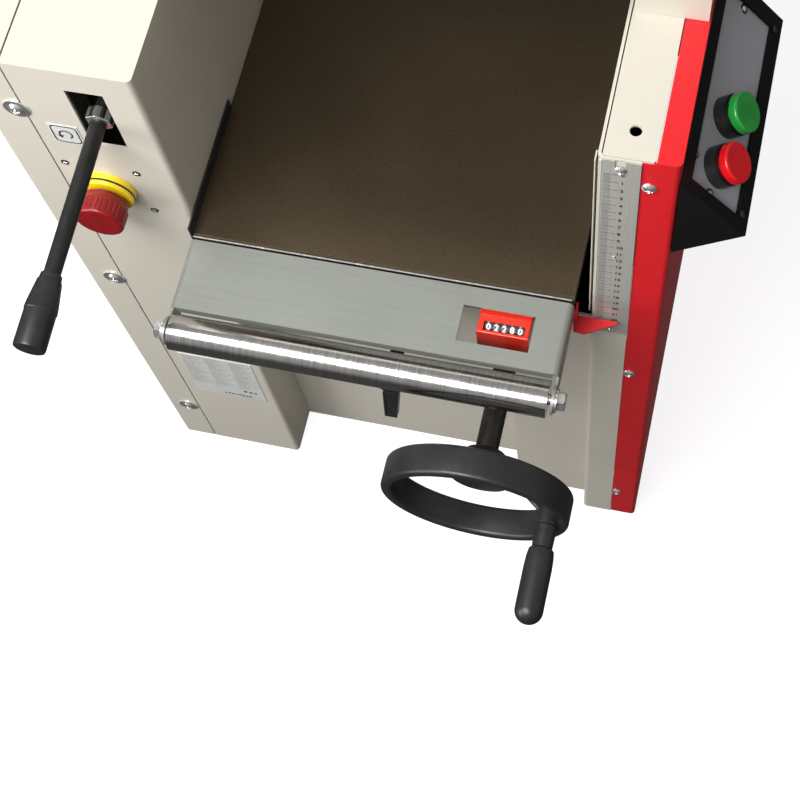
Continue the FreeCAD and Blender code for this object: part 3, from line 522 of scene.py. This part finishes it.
def scale_marks():
    """Millimetre marks, longer at 5 mm and at each centimetre."""
    start = SCALE_LEFT + 1.0 * MM
    near, far = SCALE_FACE - 0.06 * MM, SCALE_FACE + 0.02 * MM

    def build(work):
        for k in range(SCALE_MM + 1):
            z = SCALE_ZERO - k * MM
            length, half = mark_size(k)
            block(work, (start, near, z - half), (start + length, far, z + half))
    piece("scale_marks", mesh_from("scale_marks", build), "ink", "root")


def scale_numbers():
    """Centimetre numbers beside the marks."""
    x = SCALE_LEFT + 12.4 * MM
    height, depth, bolder = 3.5 * MM, 0.03 * MM, 0.16 * MM

    def build(work):
        for k in range(SCALE_MM // 10 + 1):
            def place(p, z=SCALE_ZERO - k * 10 * MM):
                return Vector((x + p.x, SCALE_FACE - depth - p.z, z + p.y))
            add_mesh(work, text_mesh(str(k), height, depth, bolder, "LEFT"), place)
    piece("scale_numbers", mesh_from("scale_numbers", build), "ink", "root")


def scale_carrier():
    """Narrow strip in two parts that carries the scale along the column's inner edge."""
    top, low = COLUMN_HIGH.z - 2 * MM, 0.488
    edge = COLUMN_LOW.x

    def build(work):
        block(work, (edge - 1.6 * MM, FRONT - 1.4 * MM, low), (edge - 0.6 * MM, FRONT + 6 * MM, top))
        block(work, (edge + 0.9 * MM, FRONT - 1.2 * MM, low), (SCALE_LEFT - 0.1 * MM, FRONT + 0.2 * MM, top))
    obj = piece("scale_carrier", mesh_from("scale_carrier", build), "beige_paint", "root")
    bevelled(obj, 0.3 * MM, 2)


# ------------------------------------------------------------------ position counter
COUNTER_READING = (0, 2, 2, 8, 0)


def drum_digits():
    """White digits 0 to 9 round each counter drum, with the reading turned to the operator."""
    last_low, last_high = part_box("counter_last_drum")
    radius = (last_high.z - last_low.z) / 2
    axis_y, axis_z = (last_low.y + last_high.y) / 2, (last_low.z + last_high.z) / 2
    last_x = (last_low.x + last_high.x) / 2
    last = len(COUNTER_READING) - 1
    pitch = 6.0 * MM
    lean = math.radians(28)  # the reading faces this far forward of straight up
    height, depth, bolder = 4.9 * MM, 0.03 * MM, 0.20 * MM

    def digits_of(x, reading):
        def build(work):
            for digit in range(10):
                turn = (reading - digit) * 2 * math.pi / 10

                def place(p, turn=turn):
                    angle = turn - lean + p.y / radius
                    reach = radius + 0.04 * MM + p.z
                    ahead, rise = reach * math.sin(angle), reach * math.cos(angle)
                    return Vector((x + p.x, axis_y + ahead, axis_z + rise))
                add_mesh(work, text_mesh(str(digit), height, depth, bolder), place)
        return build

    for index, reading in enumerate(COUNTER_READING):
        x = last_x - (last - index) * pitch
        body = "counter_drum" if index == last else "table_group"
        name = "drum_digits_" + str(index)
        piece(name, mesh_from(name, digits_of(x, reading)), "digit_white", body)


# ------------------------------------------------------------------ handwheel and grips
def handwheel():
    """Dished handwheel: rounded rim, two broad spokes, low hub, and a crank boss with its gusset."""
    low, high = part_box("handwheel")
    crank = centre("crank_spindle")
    hub_x, hub_z = (low.x + high.x) / 2, (low.z + high.z) / 2
    rim_radius = (high.x - low.x) / 2
    crank_angle = math.atan2(crank.z - hub_z, crank.x - hub_x)
    width, thick = 24 * MM, 9 * MM
    front = low.y + 0.5 * MM
    back = front + width

    def rim(work):
        half, corner = width / 2, 3.2 * MM
        section = [(u, v + rim_radius - thick / 2) for u, v in rounded(half, thick / 2, corner, 5)]
        ring_band(work, (hub_x, front + half, hub_z), Y, section, 128)

    def hub(work):
        profile = [(0, 8.9), (0, 21.6), (1.4, 23.0), (10.5, 23.0), (11.6, 22.2), (12.2, 19.4), (22, 15.9),
                   (23.2, 15.2), (24, 14.2), (24, 8.9)]
        lathe_mm(work, (hub_x, back - 2 * MM, hub_z), Y, profile, 72)

    def spokes(work):
        inner, outer = 12 * MM, rim_radius - thick + 1.5 * MM
        steps, depth = 10, 8 * MM
        for angle in (crank_angle, crank_angle + math.pi):
            out = Vector((math.cos(angle), 0, math.sin(angle)))
            across = Vector((-math.sin(angle), 0, math.cos(angle)))
            rings = []
            for i in range(steps + 1):
                t = i / steps
                reach = inner + (outer - inner) * t
                half = (8.5 - 1.2 * math.sin(math.pi * t)) * MM
                y0 = back - (2 + 6 * t * t) * MM
                y1 = y0 + depth
                middle = Vector((hub_x, 0, hub_z)) + out * reach
                ring = []
                for u, v in rounded(half, 0.5 * (y1 - y0), 2.4 * MM, 3):
                    ring.append(work.verts.new(middle + across * u + Y * ((y0 + y1) / 2 + v)))
                rings.append(ring)
            join_rings(work, rings)

    def boss(work):
        profile = [(0, 4.1), (0, 7.6), (0.9, 8.5), (22, 9.0), (23.4, 8.2), (23.4, 4.1)]
        lathe_mm(work, (crank.x, front - 0.5 * MM, crank.z), Y, profile, 48)

    def gusset(work):
        outward = Vector((math.cos(crank_angle), 0, math.sin(crank_angle)))
        across = Vector((-outward.z, 0, outward.x))
        origin = Vector((hub_x, 0, hub_z))
        half = 2.6 * MM
        near, far = 33 * MM, 49 * MM
        outline = []
        for reach, y in ((near, back - 4 * MM), (far, front + 8 * MM), (far + 3 * MM, back - 4 * MM)):
            outline.append(origin + outward * reach + Y * y - across * half)
        prism(work, outline, across * (2 * half))

    for name, build in (("handwheel_rim", rim), ("handwheel_hub", hub), ("handwheel_spokes", spokes),
                        ("handwheel_boss", boss), ("handwheel_gusset", gusset)):
        obj = piece(name, mesh_from(name, build), "wheel_plastic", "wheel_group")
        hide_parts("handwheel")
        if name == "handwheel_gusset":
            bevelled(obj, 1.2 * MM)


def crank_handle():
    """Crank grip: long barrel with a narrower neck and a round end."""
    low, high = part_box("crank_grip")
    middle = (low + high) / 2
    length = high.y - low.y
    radius = (high.x - low.x) / 2
    steps = 10

    def build(work):
        profile = [(0.0, 4.4 * MM), (0.0, radius - 1.7 * MM), (0.5 * MM, radius - 1.2 * MM),
                   (2.4 * MM, radius - 0.9 * MM), (6 * MM, radius - 0.35 * MM), (14 * MM, radius)]
        straight = length - radius
        profile.append((straight, radius))
        for k in range(1, steps + 1):
            angle = math.pi / 2 * k / steps
            profile.append((straight + radius * math.sin(angle), radius * math.cos(angle)))
        lathe(work, (middle.x, high.y, middle.z), -Y, profile, 64)
    mesh = mesh_from("crank_barrel", build)
    obj = piece("crank_barrel", mesh, "wheel_plastic", "crank_grip_body")
    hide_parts("crank_grip")


def crank_collar():
    """Sleeve of the crank spindle between wheel and grip."""
    middle = centre("crank_spindle")
    grip_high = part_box("crank_grip")[1].y
    wheel_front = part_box("handwheel")[0].y
    gap = 0.4 * MM

    def build(work):
        long = (wheel_front - grip_high - gap) / MM
        profile = [(0, 4.2), (0, 7.0), (0.6, 7.7), (long - 1.2, 8.2), (long, 7.4), (long, 4.2)]
        lathe_mm(work, (middle.x, grip_high + gap, middle.z), Y, profile, 48)
    piece("crank_collar", mesh_from("crank_collar", build), "wheel_plastic", "wheel_group")


# The feed lever's rod starts at its pivot and points forward, a little downward.
LEVER_TILT = math.radians(-3.6)
LEVER_PIVOT = Vector((-0.157, FRONT + 0.045, 0.658))
LEVER_ALONG = Vector((0, -math.cos(LEVER_TILT), math.sin(LEVER_TILT)))


def lever_grip():
    """Feed lever grip: tapered neck, parting ridge and a straight cylinder."""
    start = LEVER_PIVOT + LEVER_ALONG * 0.160
    slimmer = 0.97

    def build(work):
        profile = [(0, 6.2), (0, 7.2), (0.5, 7.7), (4.6, 8.1), (5.2, 8.9), (22, 11.5), (26.2, 11.9),
                   (27.0, 12.0), (27.6, 11.5), (52.6, 11.7), (54.4, 11.2), (55, 10.0), (55, 0)]
        lathe_mm(work, start, LEVER_ALONG, [(a, r * slimmer) for a, r in profile], 64)
    mesh = mesh_from("lever_grip", build)
    obj = piece("lever_grip", mesh, "black_plastic", "lever_group", 30)
    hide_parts("feed_lever_grip")


def hexagon_points(middle, direction, flats):
    """Six corners of a hexagon across a direction."""
    side, up = basis(direction)
    radius = flats / 2 / math.cos(math.pi / 6)
    corners = []
    for k in range(6):
        angle = math.radians(60 * k + 30)
        corners.append(middle + side * (radius * math.cos(angle)) + up * (radius * math.sin(angle)))
    return corners


def lever_nut():
    """Bright lock nut on the lever rod."""
    start = LEVER_PIVOT + LEVER_ALONG * (35.5 * MM)
    flats, length = 17.6 * MM, 9 * MM

    def build(work):
        prism(work, hexagon_points(start, LEVER_ALONG, flats), LEVER_ALONG * length)
    obj = piece("lever_nut", mesh_from("lever_nut", build), "chrome", "lever_group")
    bevelled(obj, 0.5 * MM, 2)


# ------------------------------------------------------------------ emergency stop and buttons
def stop_collar_groove():
    """Thin black band round the yellow collar."""
    low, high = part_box("stop_collar")
    middle = (low + high) / 2
    radius = (high.x - low.x) / 2
    half, inner, outer = 0.8 * MM, radius - 0.3 * MM, radius + 0.06 * MM

    def build(work):
        section = [(-half, inner), (-half, outer), (half, outer), (half, inner)]
        ring_band(work, (middle.x, low.y + 3.6 * MM, middle.z), Y, section, 96)
    piece("stop_collar_groove", mesh_from("stop_collar_groove", build), "ink", "root")


# The button panel starts at the red cover and slopes down and away from it.
PANEL_LEAN = math.radians(41)
PANEL_DOWN = Vector((math.sin(PANEL_LEAN), 0, -math.cos(PANEL_LEAN)))
PANEL_OUT = Vector((math.cos(PANEL_LEAN), 0, math.sin(PANEL_LEAN)))
PANEL_TOP = Vector((COVER_HIGH.x + 0.1 * MM, 0, 0.695))


def panel_point(distance, y, height):
    """Point on the sloping panel: distance down from the cover, Y, and height above the panel."""
    return PANEL_TOP + PANEL_DOWN * distance + Y * y + PANEL_OUT * height


def contact_screw_rims():
    """Dark rims round the four small screws that hold the stop button's contact block."""
    section = [(0, 2.2 * MM), (0, 3.3 * MM), (-0.5 * MM, 3.1 * MM), (-0.6 * MM, 2.3 * MM)]
    columns, rows = (-0.2025, -0.1465), (0.533, 0.589)

    def build(work):
        for x in columns:
            for z in rows:
                ring_band(work, (x, FRONT + 0.02 * MM, z), Y, section, 32)
    piece("contact_screw_rims", mesh_from("contact_screw_rims", build), "ink", "root")


def panel_screws():
    """Cross-head screws of the button plate on dark washers, and dark screws in the box's rim."""
    on_plate = ((12 * MM, FRONT + 31 * MM), (32.5 * MM, FRONT + 12.5 * MM), (32.5 * MM, FRONT + 156 * MM))
    on_rim = ((64 * MM, FRONT + 13 * MM), (64 * MM, FRONT + 158 * MM), (5 * MM, FRONT + 158 * MM))
    washer = [(0, 3.6 * MM), (0.5 * MM, 3.3 * MM), (0.5 * MM, 0)]

    def bright(work):
        for distance, y in on_plate:
            screw_head(work, panel_point(distance, y, -2.8 * MM), PANEL_OUT, 2.3 * MM, 1.0 * MM)

    def dark(work):
        for distance, y in on_plate:
            lathe(work, panel_point(distance, y, -3.25 * MM), PANEL_OUT, washer, 24)
        for distance, y in on_rim:
            screw_head(work, panel_point(distance, y, -0.05 * MM), PANEL_OUT, 2.6 * MM, 1.2 * MM)
    piece("panel_screws", mesh_from("panel_screws", bright), "chrome", "root")
    piece("panel_washers", mesh_from("panel_washers", dark), "black_plastic", "root")


def screw_head(work, base, out, radius, height):
    """Domed screw head with a raised cross standing for its recess walls."""
    base = Vector(base)
    dome = [(0, radius), (height * 0.35, radius), (height * 0.8, radius * 0.72), (height, radius * 0.34),
            (height, 0)]
    lathe(work, base, out, dome, 24)
    side, up = basis(out)
    arm, slim = radius * 0.5, radius * 0.10
    for first, second in ((side, up), (up, side)):
        corner = base + out * (height * 0.55) - first * arm - second * slim
        outline = [corner, corner + first * (2 * arm), corner + first * (2 * arm) + second * (2 * slim),
                   corner + second * (2 * slim)]
        prism(work, outline, out * (height * 0.5))


# ------------------------------------------------------------------ labels
def type_plate_print():
    """Generic grey lines and a few marks in the manner of a type plate."""
    left, right = -0.1985, -0.1295
    face = FRONT - 0.62 * MM
    back = face + 0.05 * MM

    def lines(work):
        """Three columns of lines of uneven length."""
        top, bottom, half = 0.2295, 0.164, 0.35 * MM
        lengths = (0.36, 0.22, 0.30, 0.16)
        z = top
        row = 0
        while z > bottom:
            x = left
            for k in range(3):
                share = lengths[(row + k) % len(lengths)]
                x_end = x + (right - left) * share * 0.86
                block(work, (x, face, z - half), (x_end, back, z + half))
                x += (right - left) * 0.345
            z -= 3.0 * MM
            row += 1

    def marks(work):
        """A row of eight small blocks, and three more above its right end."""
        row_left, row_low = -0.170, 0.1445
        for k in range(8):
            x = row_left + k * 3.6 * MM
            height = 3.2 * MM if k % 3 else 2.4 * MM
            block(work, (x, face, row_low), (x + 2.2 * MM, back, row_low + height))
        upper_left, upper_low, upper_high = -0.148, 0.1560, 0.1600
        for k in range(3):
            x = upper_left + k * 5.2 * MM
            block(work, (x, face, upper_low), (x + 3.2 * MM, back, upper_high - 0.6 * MM * k))
    piece("type_plate_lines", mesh_from("type_plate_lines", lines), "print_grey", "root")
    piece("type_plate_marks", mesh_from("type_plate_marks", marks), "ink", "root")


def lever_label_print():
    """Rounded frame and a curved arrow that shows the lever's swing."""
    middle_x, middle_z = -0.188, 0.63275
    face = FRONT - 0.52 * MM
    thick = Y * (0.05 * MM)

    def place(u, v):
        return Vector((middle_x + u, face, middle_z + v))

    def band(work, inner, outer, closed):
        count = len(inner)
        for i in range(count if closed else count - 1):
            j = (i + 1) % count
            outline = [place(*inner[i]), place(*outer[i]), place(*outer[j]), place(*inner[j])]
            prism(work, outline, thick)

    def build(work):
        band(work, rounded(9.2 * MM, 10.0 * MM, 3.0 * MM), rounded(10.4 * MM, 11.2 * MM, 4.0 * MM), True)
        start, end = -60, 205
        band(work, arc((0, 0), 4.0 * MM, start, end, 24), arc((0, 0), 5.4 * MM, start, end, 24), False)
        tip = [place(-7.2 * MM, -1.6 * MM), place(-1.9 * MM, -1.8 * MM), place(-4.4 * MM, -5.6 * MM)]
        prism(work, tip, thick)
    piece("lever_label_print", mesh_from("lever_label_print", build), "ink", "root")


# ------------------------------------------------------------------ table edges
def table_guide_strip():
    """Thin black strip along the front part of the table's left edge, rising 12 mm above the table top."""
    strip_end = -0.1759

    def build(work):
        block(work, (TABLE_LOW.x - 0.05 * MM, TABLE_LOW.y - 0.05 * MM, TABLE_TOP - 5 * MM),
              (TABLE_LOW.x + 1.25 * MM, strip_end, TABLE_TOP + 12.05 * MM))
    piece("table_guide_strip", mesh_from("table_guide_strip", build), "ink", "table_group")


def table_front_bevel():
    """Chrome-coloured strip on the front bevel of the table top, a painted highlight along the iron edge."""
    cut, proud, inset = 0.75 * MM, 0.04 * MM, 1.6 * MM

    def build(work):
        start = Vector((TABLE_LOW.x + inset, TABLE_LOW.y - proud, TABLE_TOP - cut))
        inner = Vector((start.x, TABLE_LOW.y + cut, TABLE_TOP + proud))
        back = Vector((start.x, TABLE_LOW.y + cut, TABLE_TOP - cut))
        prism(work, [start, inner, back], X * (TABLE_HIGH.x - TABLE_LOW.x - 2 * inset))
    # The chrome colour on the iron bevel is a painted highlight.
    piece("table_front_bevel", mesh_from("table_front_bevel", build), "chrome", "table_group")


# ------------------------------------------------------------------ table lock lever
def lock_lever():
    """Tapered lever with rounded edges and a recessed grip field, on a hub and its long spindle."""
    low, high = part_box("table_lock_lever")
    x, z = (low.x + high.x) / 2, 0.370
    # The spindle's rear end is 253 mm behind the hub's front.
    hub_front, hub_length = high.y - 0.253, 22 * MM
    lean = math.radians(20)
    down = Vector((0, -math.sin(lean), -math.cos(lean)))
    ahead = Vector((0, -math.cos(lean), math.sin(lean)))
    base = Vector((x, hub_front + hub_length / 2, z))
    start, end = -4 * MM, 48 * MM

    def at(u, along, height):
        return base + X * u + down * along + ahead * height

    def half_width(along):
        return (8.0 - 2.6 * (along - start) / (end - start)) * MM

    def arm(work):
        outline = []
        for along, side in ((start, -1), (start, 1), (end, 1), (end, -1)):
            outline.append(at(side * half_width(along), along, 3.6 * MM))
        prism(work, outline, ahead * (-8.1 * MM))

    def rib(work):
        """Raised border of the grip field: two long strips and two short ones."""
        strip, near = 1.7 * MM, 18 * MM
        top, cross_top = 4.5 * MM, 4.45 * MM
        into_arm = ahead * (-1.2 * MM)
        for side in (-1, 1):
            outline = [at(side * half_width(near), near, top), at(side * half_width(end), end, top),
                       at(side * (half_width(end) - strip), end, top),
                       at(side * (half_width(near) - strip), near, top)]
            prism(work, outline, into_arm)
        half = half_width(end) - 0.2 * MM
        for along, step in ((near, strip), (end, -strip)):
            outline = [at(-half, along, cross_top), at(half, along, cross_top),
                       at(half, along + step, cross_top), at(-half, along + step, cross_top)]
            prism(work, outline, into_arm)

    def hub(work):
        profile = [(0, 0), (0, 9.6), (1.4, 11), (21, 11), (22, 10), (22, 0)]
        lathe_mm(work, (x, hub_front, z), Y, profile, 48)

    def spindle(work):
        reach, radius = high.y - hub_front - hub_length, 6 * MM
        rod = [(0, 0), (0, radius), (reach, radius), (reach, 0)]
        lathe(work, (x, hub_front + hub_length, z), Y, rod, 32)

    parts = (("lock_arm", arm, "black_plastic"), ("lock_rib", rib, "black_plastic"),
             ("lock_hub", hub, "black_plastic"), ("lock_spindle", spindle, "dark_steel"))
    for name, build, material in parts:
        obj = piece(name, mesh_from(name, build), material, "lock_group")
        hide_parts("table_lock_lever")
        if name == "lock_arm":
            bevelled(obj, 1.2 * MM)


# ------------------------------------------------------------------ hood, rear and drive details
def service_screws():
    """Screws along the lower edge of the hood and round the rear panel."""
    low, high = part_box("hood")
    rear_low, rear_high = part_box("rear_panel")
    inset, sunk = 12 * MM, 0.02 * MM
    hood_row = 0.755

    def build(work):
        for x in (-0.20, -0.07, 0.07, 0.20):
            for y, way in ((low.y, -1), (high.y, 1)):
                screw_head(work, (x, y - way * sunk, hood_row), Y * way, 4.2 * MM, 2.0 * MM)
        for x in (rear_low.x + inset, rear_high.x - inset):
            for z in (0.06, 0.24, rear_high.z - inset):
                screw_head(work, (x, rear_high.y - sunk, z), Y, 4.0 * MM, 1.8 * MM)
    piece("service_screws", mesh_from("service_screws", build), "chrome", "root")


def collar_bead():
    """Rolled bead round the mouth of the dust collar."""
    low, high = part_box("dust_collar")
    middle = (low + high) / 2
    pipe, half_width, half_height, steps = 50.2 * MM, 1.2 * MM, 0.6 * MM, 12

    def build(work):
        section = []
        for k in range(steps):
            angle = 2 * math.pi * k / steps
            section.append((half_height * math.cos(angle), pipe + half_width * math.sin(angle)))
        ring_band(work, (middle.x, middle.y, high.z - 4 * MM), Z, section, 96)
    piece("collar_bead", mesh_from("collar_bead", build), "black_plastic", "root")


def chain_pins():
    """Pin heads along both straight runs of the feed chain."""
    low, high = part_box("feed_chain")
    pitch = 9.5 * MM
    head = [(0, 1.5 * MM), (0.7 * MM, 1.3 * MM), (0.7 * MM, 0)]

    def build(work):
        for z in (low.z + 2 * MM, high.z - 2 * MM):
            for k in range(-7, 8):
                lathe(work, (high.x - 0.05 * MM, k * pitch, z), X, head, 16)
    piece("chain_pins", mesh_from("chain_pins", build), "dark_steel", "root")


# ------------------------------------------------------------------ springs under the head
def coil(work, x, y, low_z, high_z):
    """One wire coil standing between two heights."""
    radius, wire, turns, steps, sides = 6.0 * MM, 0.9 * MM, 4.5, 24, 8
    count = int(turns * steps)
    rings = []
    for k in range(count + 1):
        angle = 2 * math.pi * k / steps
        out = Vector((math.cos(angle), math.sin(angle), 0))
        z = low_z + wire + (high_z - low_z - 2 * wire) * k / count
        middle = Vector((x, y, z)) + out * radius
        ring = []
        for i in range(sides):
            around = 2 * math.pi * i / sides
            outward = middle + out * (wire * math.cos(around))
            ring.append(work.verts.new(outward + Z * (wire * math.sin(around))))
        rings.append(ring)
    join_rings(work, rings)


def coil_springs():
    """Real wire coils over the feed roller bearings, each on a mesh of its own and built at one length; on
    the machine they shorten as the rollers rise.
    """
    inset = 7 * MM
    for group in ("infeed", "outfeed"):
        low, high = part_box(group + "_springs")
        axis_y = (low.y + high.y) / 2
        for index, x in enumerate((low.x + inset, high.x - inset)):
            def build(work, x=x):
                coil(work, x, axis_y, low.z, high.z)
            name = group + "_spring_" + str(index)
            obj = piece(name, mesh_from(name, build), "bright_steel", "root")
            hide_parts(group + "_springs")
            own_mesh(obj)


# ------------------------------------------------------------------ stage
def floor():
    """Plain pale floor, which isn't part of the object; reflections and bounced light leave it out."""
    half_size = 4.0

    def build(work):
        bmesh.ops.create_grid(work, x_segments=4, y_segments=4, size=half_size)
    mesh = mesh_from("floor", build)
    material = shader_of("floor_white", (0.35, 0.35, 0.35), 0.9, specular=0.1)
    vary_colour(material, noise(material, 2, 2), (0.34, 0.34, 0.34), (0.36, 0.36, 0.36))
    shader = material.node_tree.nodes["Principled BSDF"]
    shader.inputs["Emission Color"].default_value = (1, 1, 1, 1)
    shader.inputs["Emission Strength"].default_value = 0.82
    mesh.materials.append(material)
    obj = bpy.data.objects.new("floor", mesh)
    bpy.context.scene.collection.objects.link(obj)
    obj.visible_glossy = False
    obj.visible_diffuse = False


def area_light(name, location, target, size, power):
    """Rectangular soft light aimed at a point."""
    data = bpy.data.lights.new(name, "AREA")
    data.shape = "RECTANGLE"
    data.size, data.size_y = size
    data.energy = power
    obj = bpy.data.objects.new(name, data)
    obj.location = location
    aim = Vector(target) - Vector(location)
    obj.rotation_euler = aim.to_track_quat("-Z", "Y").to_euler()
    bpy.context.scene.collection.objects.link(obj)


def lights():
    """Wide soft light overhead in front, a weaker one from the left, and a dim room."""
    area_light("key", (-0.45, -1.05, 1.95), (0.0, -0.15, 0.5), (1.2, 0.7), 41)
    area_light("side", (-1.5, -1.5, 1.0), (0.0, -0.1, 0.4), (1.0, 1.2), 20)
    room()


def room():
    """Dim light from above the horizon that fades to almost none below it."""
    world = bpy.data.worlds.new("room")
    bpy.context.scene.world = world
    world.use_nodes = True
    tree = world.node_tree
    background = tree.nodes["Background"]
    background.inputs["Color"].default_value = (1, 1, 1, 1)
    place = tree.nodes.new("ShaderNodeTexCoord")
    parts = tree.nodes.new("ShaderNodeSeparateXYZ")
    strength = tree.nodes.new("ShaderNodeMapRange")
    strength.inputs["From Min"].default_value = -0.15
    strength.inputs["From Max"].default_value = 0.25
    strength.inputs["To Min"].default_value = 0.07
    strength.inputs["To Max"].default_value = 0.37
    tree.links.new(place.outputs["Generated"], parts.inputs["Vector"])
    tree.links.new(parts.outputs["Z"], strength.inputs["Value"])
    tree.links.new(strength.outputs["Result"], background.inputs["Strength"])


def camera():
    """Camera steeply above the machine, in front of it and a little to its right."""
    data = bpy.data.cameras.new("camera")
    data.lens = 71.04
    data.sensor_width = 36
    data.clip_end = 50
    obj = bpy.data.objects.new("camera", data)
    place = Vector((0.2674, -0.7776, 1.5818))
    right = Vector((0.9691, 0.2273, -0.0955))
    up = Vector((-0.1783, 0.9137, 0.3651))
    back = Vector((0.1702, -0.3368, 0.9261))
    turn = Matrix((right, up, back)).transposed()
    obj.matrix_world = Matrix.Translation(place) @ turn.to_4x4()
    bpy.context.scene.collection.objects.link(obj)
    bpy.context.scene.camera = obj
    bpy.context.scene.view_settings.view_transform = "Standard"


# ------------------------------------------------------------------ assembly
dress_frame()
scale_marks()
scale_numbers()
scale_carrier()
drum_digits()
handwheel()
crank_handle()
crank_collar()
lever_grip()
lever_nut()
stop_collar_groove()
contact_screw_rims()
panel_screws()
type_plate_print()
lever_label_print()
table_guide_strip()
table_front_bevel()
lock_lever()
service_screws()
collar_bead()
chain_pins()
coil_springs()
floor()
lights()
camera()
